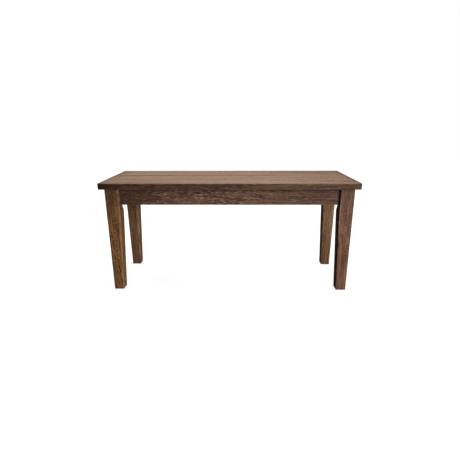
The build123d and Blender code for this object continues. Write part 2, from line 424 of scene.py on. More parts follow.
def solids_of(node):
    """The corners of each separate solid of a node."""
    work = opened(nodes[node].data)
    bmesh.ops.remove_doubles(work, verts=work.verts, dist=same_corner)
    work.verts.ensure_lookup_table()
    seen = set()
    solids = []
    for start in work.verts:
        if start.index in seen:
            continue
        seen.add(start.index)
        waiting = [start]
        corners = []
        while waiting:
            vertex = waiting.pop()
            corners.append(tuple(vertex.co))
            for edge in vertex.link_edges:
                other = edge.other_vert(vertex)
                if other.index not in seen:
                    seen.add(other.index)
                    waiting.append(other)
        solids.append(np.array(corners))
    work.free()
    return solids


def points_of(mesh):
    """The places of a mesh's points, one row each."""
    flat = np.zeros(len(mesh.vertices) * 3)
    mesh.vertices.foreach_get("co", flat)
    return flat.reshape(-1, 3)


def normals_of(mesh):
    """The way the surface faces at each of a mesh's points."""
    return np.array([vertex.normal for vertex in mesh.vertices])


def put_points(mesh, points):
    """Moves a mesh's points to these places."""
    mesh.vertices.foreach_set("co", points.ravel())
    mesh.update()


def write_values(mesh, name, values):
    """Keeps one number or one place for each point of the mesh, for its material."""
    single = values.ndim == 1
    kind, part = ("FLOAT", "value") if single else ("FLOAT_VECTOR", "vector")
    kept = mesh.attributes.get(name) or mesh.attributes.new(name, kind, "POINT")
    kept.data.foreach_set(part, values.astype(np.float32).ravel())


def values_of(mesh, name):
    """The numbers that a mesh keeps under this name, one for each of its points."""
    values = np.zeros(len(mesh.vertices))
    mesh.attributes[name].data.foreach_get("value", values)
    return values


def near_arrises(mesh, reach):
    """1 on the arrises of a mesh, falling to 0 over this reach."""
    work = opened(mesh)
    on_arris = set()
    for edge in work.edges:
        if len(edge.link_faces) == 2 and edge.calc_face_angle() > sharp_turn:
            on_arris.update(vertex.index for vertex in edge.verts)
    work.free()
    if not on_arris:
        return np.zeros(len(mesh.vertices))
    tree = KDTree(len(on_arris))
    for index in sorted(on_arris):
        tree.insert(mesh.vertices[index].co, index)
    tree.balance()
    return close_to(np.array([tree.find(vertex.co)[2] for vertex in mesh.vertices]), reach)


def knocks(points, worn, name):
    """How deep small knocks go at each point. They fall on the arrises."""
    dice = random.Random(name + " knocks")
    arris_points = np.flatnonzero(worn > on_arris_share)
    depth = np.zeros(len(points))
    if len(arris_points) == 0:
        return depth
    for _ in range(knock_count):
        middle = points[dice.choice(list(arris_points))]
        reach = knock_reach * dice.uniform(*knock_reach_shares)
        gaps = np.linalg.norm(points - middle, axis=1)
        depth = np.maximum(depth, dice.uniform(*knock_depth_shares) * close_to(gaps, reach))
    return depth * knock_depth


def weathered(mesh, name, marks=plane_marks):
    """Sinks the surface a little where it was planed and used, never outwards."""
    points = points_of(mesh)
    worn = near_arrises(mesh, worn_reach)
    offset = unlike(name, -pattern_reach, pattern_reach)
    planed = uneven(points * [plane_mark_stretch, 1, 1], plane_mark_size, offset)
    rubbed = uneven(points, arris_loss_size, offset) ** 2
    depth = marks * planed + arris_loss * rubbed * worn + knocks(points, worn, name)
    put_points(mesh, points - normals_of(mesh) * depth[:, None])
    write_values(mesh, "worn", worn * (worn_least + (1 - worn_least) * rubbed))
    return mesh


def laid_in_log(mesh, along, heart, lean=(0, 0), shift=0.0):
    """Says where the piece lay in the log it was sawn from, the log's heart running along Z.

    along is the piece's own grain direction, 0 to 2 for X to Z. heart is the heart's place
    beside the piece, in the two other directions, and lean its slope against the piece.
    """
    points = points_of(mesh)
    normals = normals_of(mesh)
    across = [(along + 1) % 3, (along + 2) % 3]
    middle = (points.max(axis=0) + points.min(axis=0)) / 2
    local = points - middle
    place = np.empty_like(local)
    place[:, 2] = local[:, along] + shift
    for row in range(2):
        place[:, row] = local[:, across[row]] - heart[row] + lean[row] * local[:, along]
    write_values(mesh, "log_place", place)
    write_values(mesh, "end_grain", np.abs(normals[:, along]) ** 3)


def shade(mesh):
    """Smooth shading, broken only where the surface turns sharply."""
    for polygon in mesh.polygons:
        polygon.use_smooth = True
    mesh.set_sharp_from_angle(angle=shading_turn)


def new_object(name, data):
    """A new object in the scene, made of this data."""
    made = bpy.data.objects.new(name, data)
    bpy.context.scene.collection.objects.link(made)
    return made


def piece(name, mesh, material, slot, *replaced):
    """A finished piece that stands in the place of these nodes."""
    shade(mesh)
    mesh.materials.append(material)
    made = new_object(name, mesh)
    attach(made, body)
    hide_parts(*replaced)


# Materials, as sheets of shader nodes

figure_masks = ("Dense", "Pores", "Fibres", "Streaks", "Mottle", "Patches")
brown = (0.1, 0.06, 0.04, 1)
wood_shine = 0.22
wood_relief = 0.35 * mm
plating_relief = 0.03 * mm


def feed(tree, node, inputs):
    """Gives a node its inputs, as values or as the outputs of other nodes."""
    for name, value in dict(inputs).items():
        if isinstance(value, bpy.types.NodeSocket):
            tree.links.new(value, node.inputs[name])
        else:
            node.inputs[name].default_value = value


def put(tree, kind, inputs=(), **settings):
    """Adds a node with these settings and inputs."""
    node = tree.nodes.new("ShaderNode" + kind)
    for name, value in settings.items():
        setattr(node, name, value)
    feed(tree, node, inputs)
    return node


def sum_of(tree, operation, *values):
    """One step of arithmetic on numbers."""
    return put(tree, "Math", enumerate(values), operation=operation).outputs[0]


def times(tree, first, second):
    """Two numbers multiplied."""
    return sum_of(tree, "MULTIPLY", first, second)


def plus(tree, first, second):
    """Two numbers added."""
    return sum_of(tree, "ADD", first, second)


def opposite(tree, value):
    """What a share leaves of 1."""
    return sum_of(tree, "SUBTRACT", 1.0, value)


def placed(tree, operation, first, second):
    """One step of arithmetic on places or directions."""
    return put(tree, "VectorMath", {0: first, 1: second}, operation=operation).outputs[0]


def length_of(tree, place):
    """How far this place is from the origin."""
    return put(tree, "VectorMath", {0: place}, operation="LENGTH").outputs["Value"]


def ramp(tree, value, low, high, start=0.0, end=1.0):
    """Goes smoothly from start to end as the value goes from low to high."""
    levels = {0: value, 1: low, 2: high, 3: start, 4: end}
    return put(tree, "MapRange", levels, interpolation_type="SMOOTHSTEP").outputs[0]


def mixed(tree, share, first, second, how="MIX"):
    """Two colours mixed, from all first at share 0 to all second at 1."""
    inputs = {0: share, 6: first, 7: second}
    return put(tree, "Mix", inputs, data_type="RGBA", blend_type=how).outputs[2]


def brightened(tree, colour, level):
    """A colour made this many times as bright."""
    grey = put(tree, "CombineColor", {0: level, 1: level, 2: level}).outputs[0]
    return mixed(tree, 1.0, colour, grey, "MULTIPLY")


def cloud(tree, place, size, detail=2.0, output=0):
    """Random patches of this size in metres, across the grain and along it."""
    across, along = size
    finer = placed(tree, "MULTIPLY", place, (1 / across, 1 / across, 1 / along))
    noise_inputs = {"Vector": finer, "Scale": 1.0, "Detail": detail}
    return put(tree, "TexNoise", noise_inputs).outputs[output]


def spots(tree, place, across, along, detail):
    """Random spots whose two sizes are inputs of the node group."""
    size = put(tree, "CombineXYZ", {0: across, 1: across, 2: along}).outputs[0]
    finer = placed(tree, "DIVIDE", place, size)
    return put(tree, "TexNoise", {"Vector": finer, "Scale": 1.0, "Detail": detail}).outputs[0]


def bends(tree, place, size, strength):
    """A random push on this place, in bends of this size, by up to half the strength."""
    push = cloud(tree, place, size, output="Color")
    push = placed(tree, "SUBTRACT", push, (0.5, 0.5, 0.5))
    return put(tree, "VectorMath", {0: push, 3: strength}, operation="SCALE").outputs[0]


def new_group(name, takes, gives):
    """An empty node group. What an input starts with says if it is a number, place or colour."""
    kinds = {1: "Float", 3: "Vector", 4: "Color"}
    tree = bpy.data.node_groups.new(name, "ShaderNodeTree")
    for socket, value in takes.items():
        kind = "NodeSocket" + kinds[np.size(value)]
        made = tree.interface.new_socket(socket, in_out="INPUT", socket_type=kind)
        made.default_value = value
    for socket in gives:
        kind = "NodeSocketColor" if socket == "Color" else "NodeSocketFloat"
        tree.interface.new_socket(socket, in_out="OUTPUT", socket_type=kind)
    entry = tree.nodes.new("NodeGroupInput").outputs
    out = tree.nodes.new("NodeGroupOutput").inputs
    return tree, entry, out


def give(tree, out, results):
    """Joins a node group's results to its outputs."""
    for name, value in results.items():
        tree.links.new(value, out[name])
    return tree


def use_group(tree, group, known):
    """The outputs of a shared node group, which takes what it needs by name from what is known."""
    node = put(tree, "Group", node_tree=groups[group])
    feed(tree, node, {name: value for name, value in known.items() if name in node.inputs})
    return {socket.name: socket for socket in node.outputs}


def growth_rings(tree, waved, ring_width):
    """How dense the wood is, rising through each year's ring and dropping at its end."""
    year_change = 0.45
    year_strength = 1.6
    rise = (0.08, 0.72)
    fall = (0.9, 1.0, 1.0, 0.0)
    radius = length_of(tree, placed(tree, "MULTIPLY", waved, (1, 1, 0)))
    rings = sum_of(tree, "DIVIDE", radius, ring_width)
    years = {"W": rings, "Scale": year_change, "Detail": 1.0}
    years = put(tree, "TexNoise", years, noise_dimensions="1D").outputs[0]
    rings = plus(tree, rings, times(tree, years, year_strength))
    within = sum_of(tree, "FRACT", rings)
    return times(tree, ramp(tree, within, *rise), ramp(tree, within, *fall))


def open_pores(tree, waved, width, length, dense):
    """Where the pores are, fewer in dense wood."""
    limit = 0.53
    dense_limit = 0.09
    softness = 0.04
    fine = spots(tree, waved, width, length, 1.0)
    limit = plus(tree, times(tree, dense, dense_limit), limit)
    return ramp(tree, sum_of(tree, "SUBTRACT", fine, limit), 0.0, softness)


def brushed_streaks(tree, waved, width, length):
    """Where the brushing left streaks that catch residue, broken up by fine hairs."""
    streaks = ramp(tree, spots(tree, waved, width, length, 4.0), 0.48, 0.64)
    hair_size = (0.6 * mm, 18 * mm)
    hairs = ramp(tree, cloud(tree, waved, hair_size), 0.42, 0.58, 0.3, 1.4)
    return times(tree, streaks, hairs)


def log_figure():
    """What is in the wood itself: growth rings, pores, fibres and patches."""
    takes = {
        "Place": (0, 0, 0),
        "Ring Width": 5 * mm,
        "Waver": 8 * mm,
        "Pore Width": 0.8 * mm,
        "Pore Length": 16 * mm,
        "Fleck Width": 3 * mm,
        "Fleck Length": 18 * mm,
    }
    broad_bend = (70 * mm, 300 * mm)
    small_bend = (24 * mm, 100 * mm)
    small_bend_share = 0.2
    fibre_size = (1.1 * mm, 35 * mm)
    mottle_size = (7 * mm, 75 * mm)
    patch_size = (50 * mm, 220 * mm)
    tree, entry, out = new_group("log figure", takes, figure_masks)
    place = entry["Place"]
    broad = bends(tree, place, broad_bend, entry["Waver"])
    small_waver = times(tree, entry["Waver"], small_bend_share)
    small = bends(tree, place, small_bend, small_waver)
    waved = placed(tree, "ADD", placed(tree, "ADD", place, broad), small)
    dense = growth_rings(tree, waved, entry["Ring Width"])
    return give(tree, out, {
        "Dense": dense,
        "Pores": open_pores(tree, waved, entry["Pore Width"], entry["Pore Length"], dense),
        "Fibres": cloud(tree, waved, fibre_size, 3.0),
        "Streaks": brushed_streaks(tree, waved, entry["Fleck Width"], entry["Fleck Length"]),
        "Mottle": cloud(tree, waved, mottle_size, 4.0),
        "Patches": ramp(tree, cloud(tree, place, patch_size, 3.0), 0.34, 0.68),
    })


def stain_colour(tree, entry, residue):
    """The stained wood's colour: its two grounds, darker in open rings and pores, pale with
    residue, and last taken towards the deep colour where painted shade is asked for.
    """
    end_grain_dark = 0.55
    open_wood = opposite(tree, entry["Dense"])
    lively = opposite(tree, times(tree, entry["Plain"], 0.5))
    rings = times(tree, times(tree, open_wood, entry["Ring Strength"]), lively)
    colour = mixed(tree, entry["Patches"], entry["Ground"], entry["Ruddy"])
    colour = mixed(tree, rings, colour, entry["Deep"])
    colour = brightened(tree, colour, ramp(tree, entry["Fibres"], 0.3, 0.7, 0.62, 1.4))
    cloudy = ramp(tree, entry["Mottle"], 0.3, 0.7, -1.0, 1.0)
    cloudy = times(tree, times(tree, cloudy, entry["Mottle Strength"]), lively)
    colour = brightened(tree, colour, plus(tree, cloudy, 1.0))
    colour = mixed(tree, residue, colour, entry["Residue"])
    dark = times(tree, entry["Pores"], entry["Pore Strength"])
    colour = mixed(tree, dark, colour, entry["Deep"])
    ends = times(tree, entry["End Grain"], end_grain_dark)
    colour = mixed(tree, ends, colour, entry["Deep"])
    # Painted shade, and darker patches, taken towards the deep colour where the mesh asks for it
    return mixed(tree, entry["Deeper"], colour, entry["Deep"])


def stained_grain():
    """Stain taken up unevenly, dark in the pores, with pale residue left in open rings, and
    painted shade laid over it.
    """
    takes = dict.fromkeys((*figure_masks, "End Grain", "Deeper", "Plain"), 0.0)
    takes.update(dict.fromkeys(("Ground", "Deep", "Ruddy", "Residue"), brown))
    for effect in ("Ring", "Pore", "Residue", "Mottle"):
        takes[effect + " Strength"] = 0.5
    tree, entry, out = new_group("stained grain", takes, ("Color", "Roughness", "Height"))
    open_wood = opposite(tree, entry["Dense"])
    caught = times(tree, entry["Streaks"], plus(tree, times(tree, open_wood, 0.6), 0.4))
    caught = times(tree, caught, opposite(tree, entry["Plain"]))
    residue = times(tree, caught, entry["Residue Strength"])
    rough = plus(tree, times(tree, open_wood, 0.12), 0.5)
    rough = plus(tree, rough, times(tree, residue, 0.2))
    rough = plus(tree, rough, times(tree, entry["Pores"], 0.1))
    height = plus(tree, times(tree, entry["Dense"], 0.5), times(tree, entry["Fibres"], 0.35))
    height = sum_of(tree, "SUBTRACT", height, times(tree, entry["Pores"], 0.5))
    colour = stain_colour(tree, entry, residue)
    return give(tree, out, {"Color": colour, "Roughness": rough, "Height": height})


def worn_arrises():
    """Stain rubbed off the arrises in broken lengths, down to paler wood."""
    takes = {
        "Color": brown,
        "Roughness": 0.6,
        "Worn": 0.0,
        "Place": (0, 0, 0),
        "Bare": (0.3, 0.2, 0.13, 1),
        "Bare Amount": 0.7,
    }
    broken_size = (3 * mm, 20 * mm)
    tree, entry, out = new_group("worn arrises", takes, ("Color", "Roughness"))
    broken = cloud(tree, entry["Place"], broken_size, 4.0)
    patchy = plus(tree, times(tree, broken, 2.4), -0.4)
    level = times(tree, entry["Worn"], patchy)
    share = times(tree, ramp(tree, level, 0.15, 0.8), entry["Bare Amount"])
    colour = mixed(tree, share, entry["Color"], entry["Bare"])
    rubbed = sum_of(tree, "SUBTRACT", entry["Roughness"], times(tree, share, 0.12))
    return give(tree, out, {"Color": colour, "Roughness": rubbed})


def settled_dust_shade_and_sheen():
    """Grime in joints, painted shade along borders, a thin uneven film of wax and dust everywhere,
    and a worn film with painted sheen on top.
    """
    takes = {
        "Color": brown,
        "Roughness": 0.6,
        "Settled": 0.0,
        "Topside": 0.0,
        "Dense": 0.5,
        "Pores": 0.0,
        "Place": (0, 0, 0),
        "Grime And Shade Colour": (0.012, 0.008, 0.005, 1),
        "Film And Sheen": (0.25, 0.21, 0.18, 1),
        "Film Amount": 0.1,
        "Topside Amount": 0.4,
        "Pore Gaps": 0.6,
    }
    smear_size = (30 * mm, 90 * mm)
    streak_size = (11 * mm, 350 * mm)
    tree, entry, out = new_group("settled dust", takes, ("Color", "Roughness"))
    smear = ramp(tree, cloud(tree, entry["Place"], smear_size, 4.0), 0.35, 0.7)
    streaks = ramp(tree, cloud(tree, entry["Place"], streak_size, 3.0), 0.32, 0.68)
    uneven_top = plus(tree, times(tree, streaks, 0.8), times(tree, entry["Dense"], -0.35))
    worn_film_and_sheen_on_top = times(tree, plus(tree, uneven_top, 0.66), entry["Topside Amount"])
    film_and_sheen = times(tree, smear, entry["Film Amount"])
    # The top's worn film, which also stands for a painted sheen
    film_and_sheen = sum_of(tree, "MAXIMUM", film_and_sheen, times(tree, worn_film_and_sheen_on_top, entry["Topside"]))
    film_and_sheen = times(tree, film_and_sheen, opposite(tree, times(tree, entry["Pores"], entry["Pore Gaps"])))
    colour = mixed(tree, film_and_sheen, entry["Color"], entry["Film And Sheen"])
    # Grime in the joints and painted shade along the seat's borders
    colour = mixed(tree, entry["Settled"], colour, entry["Grime And Shade Colour"])
    rough = plus(tree, entry["Roughness"], times(tree, smear, 0.08))
    rough = plus(tree, rough, times(tree, entry["Settled"], 0.2))
    return give(tree, out, {"Color": colour, "Roughness": rough})


def plating():
    """A thin bright metal coat: cloudy, faintly scratched and dulled in spots."""
    takes = {
        "Place": (0, 0, 0),
        "Coat": (0.6, 0.6, 0.58, 1),
        "Dulled": (0.35, 0.34, 0.31, 1),
        "Spot Size": 3 * mm,
    }
    scratch_size = (0.4 * mm, 6 * mm)
    tree, entry, out = new_group("plating", takes, ("Color", "Roughness", "Height"))
    dull = spots(tree, entry["Place"], entry["Spot Size"], entry["Spot Size"], 5.0)
    dull = ramp(tree, dull, 0.42, 0.66)
    scratches = cloud(tree, entry["Place"], scratch_size)
    colour = mixed(tree, dull, entry["Coat"], entry["Dulled"])
    rough = plus(tree, times(tree, dull, 0.22), 0.28)
    rough = plus(tree, rough, times(tree, scratches, 0.1))
    height = plus(tree, times(tree, scratches, 0.4), dull)
    return give(tree, out, {"Color": colour, "Roughness": rough, "Height": height})


groups = {
    "figure": log_figure(),
    "stain_and_painted_shade": stained_grain(),
    "arrises": worn_arrises(),
    "dust_shade_and_sheen": settled_dust_shade_and_sheen(),
    "plating": plating(),
}


def colour(*levels):
    """A colour as it looks on a screen, from 0 to 255, as the amount of light it sends back."""
    shares = [level / 255 for level in levels]
    light = [s / 12.92 if s < 0.04045 else ((s + 0.055) / 1.055) ** 2.4 for s in shares]
    return (*light, 1.0)


def new_material(name):
    """An empty material and its sheet of nodes."""
    made = bpy.data.materials.new(name)
    made.use_nodes = True
    made.node_tree.nodes.clear()
    return made, made.node_tree


def finish_material(tree, surface, height, depth):
    """Joins the surface's colour and roughness, and a bump of this depth, to the shader."""
    bump = put(tree, "Bump", {"Strength": 1.0, "Distance": depth, "Height": height})
    shader = put(tree, "BsdfPrincipled", {**surface, "Normal": bump.outputs[0]})
    put(tree, "OutputMaterial", {"Surface": shader.outputs[0]})


def kept_value(tree, name, output="Fac"):
    """What the mesh keeps under this name at each point, or 0 where it keeps nothing."""
    return put(tree, "Attribute", attribute_name=name).outputs[output]


def wood(name, finish):
    """A wood with its own figure and finish, read along the log it was sawn from."""
    made, tree = new_material(name)
    known = {"Place": kept_value(tree, "log_place", "Vector")}
    # Besides figure, wear and grime, the kept values carry painted shade and a painted sheen on
    # the seat's top
    for kept in ("end_grain", "deeper", "plain", "settled", "topside", "worn"):
        known[kept.replace("_", " ").title()] = kept_value(tree, kept)
    for part, value in finish.items():
        known[part] = colour(*value) if isinstance(value, tuple) else value
    for group in ("figure", "stain_and_painted_shade", "dust_shade_and_sheen", "arrises"):
        known.update(use_group(tree, group, known))
    surface = {
        "Base Color": known["Color"],
        "Roughness": known["Roughness"],
        "Specular IOR Level": wood_shine,
    }
    finish_material(tree, surface, known["Height"], wood_relief)
    return made


def plated(name, coat, dulled):
    """A steel with a plated coat, dulled in spots to a second colour."""
    made, tree = new_material(name)
    place = put(tree, "TexCoord").outputs["Object"]
    known = {"Place": place, "Coat": colour(*coat), "Dulled": colour(*dulled)}
    metal = use_group(tree, "plating", known)
    surface = {"Base Color": metal["Color"], "Roughness": metal["Roughness"], "Metallic": 1.0}
    finish_material(tree, surface, metal["Height"], plating_relief)
    return made


# Finishes, their colours as they look on a screen, from 0 to 255

dark_stain = {
    "Ring Width": 4.2 * mm,
    "Waver": 6 * mm,
    "Ground": (98, 69, 49),
    "Deep": (42, 24, 14),
    "Ruddy": (99, 60, 42),
    "Residue": (186, 154, 126),
    "Ring Strength": 0.75,
    "Pore Strength": 0.6,
    "Residue Strength": 0.8,
    "Mottle Strength": 0.42,
    "Film Amount": 0.05,
    "Bare": (150, 112, 84),
    "Bare Amount": 0.35,
}
leg_finish = {
    **dark_stain,
    "Ring Width": 7.5 * mm,
    "Fleck Length": 8 * mm,
    "Ground": (127, 91, 62),
    "Deep": (58, 35, 19),
    "Ruddy": (124, 81, 54),
    "Residue": (176, 142, 106),
    "Ring Strength": 0.6,
    "Pore Strength": 0.35,
    "Residue Strength": 0.5,
    "Bare": (176, 140, 108),
    "Bare Amount": 0.9,
}
plum_leg_finish = {
    **leg_finish,
    "Ground": (118, 83, 59),
    "Deep": (54, 32, 19),
    "Ruddy": (108, 68, 47),
    "Residue": (168, 134, 106),
    "Ring Strength": 0.55,
    "Residue Strength": 0.45,
    "Mottle Strength": 0.5,
}
warm_leg_finish = {
    **leg_finish,
    "Ground": (142, 95, 50),
    "Deep": (60, 34, 14),
    "Ruddy": (133, 81, 41),
    "Residue": (184, 146, 98),
    "Ring Strength": 0.8,
    "Pore Strength": 0.55,
    "Residue Strength": 0.8,
    "Mottle Strength": 0.5,
    "Bare Amount": 0.62,
}
seat_finish = {
    **dark_stain,
    "Ground": (78, 50, 30),
    "Deep": (36, 20, 9),
    "Ruddy": (80, 48, 28),
    "Residue": (146, 114, 86),
    "Ring Strength": 0.6,
    "Residue Strength": 0.45,
    "Mottle Strength": 0.3,
    # The pale film, which on the top also stands for a painted sheen
    "Film And Sheen": (143, 120, 99),
    "Film Amount": 0.03,
    "Topside Amount": 0.68,
}
inner_finish = {
    **dark_stain,
    "Ground": (140, 108, 80),
    "Deep": (84, 60, 42),
    "Ruddy": (146, 104, 76),
    "Ring Strength": 0.5,
    "Residue Strength": 0.1,
    "Mottle Strength": 0.15,
    "Bare Amount": 0.3,
}
birch_finish = {
    **inner_finish,
    "Ground": (206, 178, 140),
    "Deep": (176, 142, 102),
    "Ruddy": (210, 176, 138),
}

seat_wood = wood("seat wood", seat_finish)
frame_wood = wood("apron wood", dark_stain)
leg_wood = wood("leg wood", leg_finish)
warm_leg_wood = wood("warm leg wood", warm_leg_finish)
plum_leg_wood = wood("plum leg wood", plum_leg_finish)
inner_wood = wood("inner wood", inner_finish)
tongue_wood = wood("tongue birch", birch_finish)
zinc_steel = plated("zinc plate", (196, 197, 196), (140, 138, 132))
screw_steel = plated("yellow zinc plate", (200, 176, 120), (128, 108, 74))


# Seat boards


def seat_board_cuts(low, high, joints):
    """Where a seat board is divided: finely by its arrises, joints and tongue grooves."""
    length_cuts = eased_steps(low.x, high.x, along_step, seat_arris_most)
    length_cuts += [tongue_low.x - tongue_groove_room, tongue_high.x + tongue_groove_room]
    width_cuts = eased_steps(low.y, high.y, across_step, seat_arris_most)
    for edge in joints:
        inwards = 1 if edge == low.y else -1
        for reach in (joint_bevel, joint_step, 2 * joint_step, tongue_groove_depth):
            width_cuts.append(edge + inwards * reach)
    height_cuts = eased_steps(low.z, high.z, across_step, seat_arris_most)
    height_cuts += [tongue_low.z, tongue_high.z]
    return [in_order(row) for row in (length_cuts, width_cuts, height_cuts)]


def tongue_grooves(cuts, joints):
    """Which cells lie in the grooves of the loose tongues."""
    x, y, z = middles(cuts)
    by_joint = np.zeros(x.shape, bool)
    for edge in joints:
        by_joint |= np.abs(y - edge) < tongue_groove_depth
    in_length = np.abs(x) < tongue_high.x + tongue_groove_room
    return by_joint & in_length & (z > tongue_low.z) & (z < tongue_high.z)


def joint_dirt(x, y, joints):
    """How much grime lies by the joints, thinner towards the seat's two ends."""
    dirt = np.zeros(len(x))
    for edge in joints:
        reach = back_joint_dirt if edge > 0 else front_joint_dirt
        dirt = np.maximum(dirt, close_to(np.abs(y - edge), reach))
    full = eased(x, *joint_dirt_from_right) * eased(x, *joint_dirt_from_left)
    return dirt * (joint_dirt_least + (1 - joint_dirt_least) * full)


def seat_film_and_sheen(points, to_side, to_border):
    """How thick the worn film and its painted sheen are: only on top, and thinner by its edges,
    right and back.
    """
    x, y, z = points.T
    below_top = (seat_high.z - z) / (film_sheen_edge_share * seat_arris)
    # Only at the left end of the front are the film and painted sheen thinner, so elsewhere the
    # front counts as far off
    to_front = y - seat_low.y + eased(x, *no_thin_film_sheen_front)
    to_edge = np.minimum(to_border, to_front)
    film_and_sheen = 1 - thin_film_sheen_share * close_to(to_edge, thin_film_sheen_reach)
    film_and_sheen *= 1 - eased(x, *film_sheen_right_loss)
    film_and_sheen *= 1 - film_sheen_side_loss * close_to(to_side, film_sheen_side_reach)
    film_and_sheen *= 1 - (film_sheen_back_loss + eased(x, *film_sheen_back_right_loss)) * eased(y, *film_sheen_back)
    return np.clip(1 - below_top, 0, 1) * film_and_sheen


def front_edge_darkening(points):
    """How much darker the front edge is made: at its left end and upper left."""
    x, y, z = points.T
    on_edge = eased(y - seat_low.y, *front_edge_only)
    upper_left = eased(x, *dark_upper_left) * eased(z - underside, *front_edge_upper)
    return on_edge * np.maximum(eased(x, *dark_left_end), upper_left)


def seat_tones(mesh, points, joints, on_top):
    """Grime by the joints, painted shade along the ends and back, wear on the outer arrises, and
    the worn film with painted sheen on top.
    """
    x, y = points[:, 0], points[:, 1]
    to_side = seat_high.x - np.abs(x)
    to_border = np.minimum(to_side, seat_high.y - y)
    by_border = close_to(to_border, border_reach)
    by_joint = np.zeros(len(points))
    for edge in joints:
        by_joint = np.maximum(by_joint, close_to(np.abs(y - edge), joint_step))
    # Grime by the joints, and painted shade along the seat's ends and back
    dirt = np.maximum(joint_dirt(x, y, joints), border_painted_shade * by_border)
    write_values(mesh, "settled", dirt * on_top)
    worn = values_of(mesh, "worn") * (1 - by_joint) * (1 - border_wear_loss * by_border)
    write_values(mesh, "worn", worn)
    write_values(mesh, "topside", seat_film_and_sheen(points, to_side, to_border))


def seat_board(place):
    """A board of the seat: the slab's arrises rounded over, its joint edges just eased."""
    node = f"seat_board_{place}"
    low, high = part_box(node)
    ends = ((low.y, seat_low.y), (high.y, seat_high.y))
    joints = [edge for edge, end in ends if abs(edge - end) > end_step]
    cuts = seat_board_cuts(low, high, joints)
    points, faces = cell_shell(cuts, ~tongue_grooves(cuts, joints))
    waver = uneven(points, arris_loss_size, unlike(node, 0, seat_pattern_reach))
    waver = seat_arris_waver * (waver - seat_arris_waver_middle)
    radius = np.minimum(seat_arris * (1 + waver), seat_arris_most)
    points = rounded(points, seat_low, seat_high, radius)
    on_top = points[:, 2] > seat_high.z - end_step
    for edge in joints:
        gap = np.abs(points[:, 1] - edge)
        points[:, 2] -= np.clip(joint_bevel - gap, 0, None) * on_top
    mesh = weathered(mesh_of(node, points, faces), node)
    seat_tones(mesh, points, joints, on_top)
    if place == "front":
        write_values(mesh, "deeper", front_edge_darkening(points))
    return node, mesh


# Aprons


def front_apron_tones(mesh, points):
    """Darker towards the ends, painted shade under the seat and by the right leg, and plainer
    ends.
    """
    x, z = points[:, 0], points[:, 2]
    stain_and_painted_shade = eased(x, *apron_dark_left) + eased(x, *apron_dark_right)
    # Painted shade under the seat's overhang
    stain_and_painted_shade += eased(underside - z, *apron_shade_under_seat)
    # Painted shade in the narrow gap beside the right leg
    shade_by_leg = eased(leg_low.x - x, *apron_shade_by_leg)
    write_values(mesh, "deeper", np.maximum(stain_and_painted_shade, shade_by_leg))
    write_values(mesh, "plain", eased(x, *apron_plain_right) + eased(x, *apron_plain_left))


def apron(side):
    """An apron, grooved for the buttons. The long ones are housed for the batten."""
    node = f"apron_{side}"
    low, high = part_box(node)
    is_long = side in ("front", "back")
    outwards = 1 if side in ("back", "right") else -1
    along, across = (0, 1) if is_long else (1, 0)
    inner = low[across] if outwards == 1 else high[across]
    housing_depth = batten_high.y - abs(inner) if is_long else 0
    length_cuts = steps(low[along], high[along], along_step)
    depth_cuts = eased_steps(low[across], high[across], across_step, apron_arris)
    depth_cuts.append(inner + outwards * groove_depth)
    height_cuts = eased_steps(low.z, high.z, across_step, apron_arris)
    height_cuts += [groove_low, groove_high]
    if is_long:
        length_cuts += [batten_low.x, batten_high.x]
        depth_cuts.append(inner + outwards * housing_depth)
        height_cuts.append(batten_low.z)
    cuts = [None, None, in_order(height_cuts)]
    cuts[along] = in_order(length_cuts)
    cuts[across] = in_order(depth_cuts)
    place = middles(cuts)
    depth = outwards * (place[across] - inner)
    empty = (depth < groove_depth) & (place[2] > groove_low) & (place[2] < groove_high)
    if is_long:
        by_batten = (depth < housing_depth) & (place[2] > batten_low.z)
        empty |= by_batten & (np.abs(place[0]) < batten_high.x)
    points, faces = cell_shell(cuts, ~empty)
    round_low, round_high = np.array(low), np.array(high)
    round_low[along] -= 1
    round_high[along] += 1
    round_high[2] += 1
    points = rounded(points, round_low, round_high, apron_arris)
    mesh = weathered(mesh_of(node, points, faces), node)
    if side == "front":
        front_apron_tones(mesh, points)
    return node, mesh


# Legs


def leg_side(height):
    """How wide the leg is at this height."""
    top_section = leg_high.x - leg_low.x
    share = min(1, height / taper_top)
    return foot_section + (top_section - foot_section) * share


def corner_cut(height):
    """How deep the inner corner is cut, square to the cut, at this height."""
    if height >= flat_end:
        return flat_depth
    drop = flat_end - height
    if drop >= flat_cutter_radius:
        return leg_corner_bevel
    reach = math.sqrt(flat_cutter_radius**2 - drop**2)
    return max(leg_corner_bevel, flat_depth - flat_cutter_radius + reach)


def straight(start, end, count):
    """Places on a straight line, dividing it into this many equal steps."""
    start, end = np.array(start), np.array(end)
    return [tuple(start + (end - start) * step / count) for step in range(count + 1)]


def corner_arc(x, y, start):
    """A rounded corner of a leg's section, a quarter turn on from this angle in degrees."""
    centre_x, centre_y = abs(x - leg_arris), abs(y - leg_arris)
    arc = []
    for step in range(2 * arris_steps + 1):
        angle = math.radians(start + 90 * step / (2 * arris_steps))
        arc.append((centre_x + leg_arris * math.cos(angle),
                    centre_y + leg_arris * math.sin(angle)))
    return arc


def leg_outline(side, cut):
    """A leg's section, measured inwards from its outer corner along both faces."""
    across = math.ceil(foot_section / across_step) + 1
    width = cut * math.sqrt(2)
    corners = [
        corner_arc(0, 0, 180),
        corner_arc(side, 0, 270),
        straight((side, side - width), (side - width, side), corner_flat_steps),
        corner_arc(0, side, 90),
    ]
    outline = []
    for index, corner in enumerate(corners):
        after = corners[(index + 1) % len(corners)]
        outline += corner + straight(corner[-1], after[0], across)[1:-1]
    return np.array(outline)


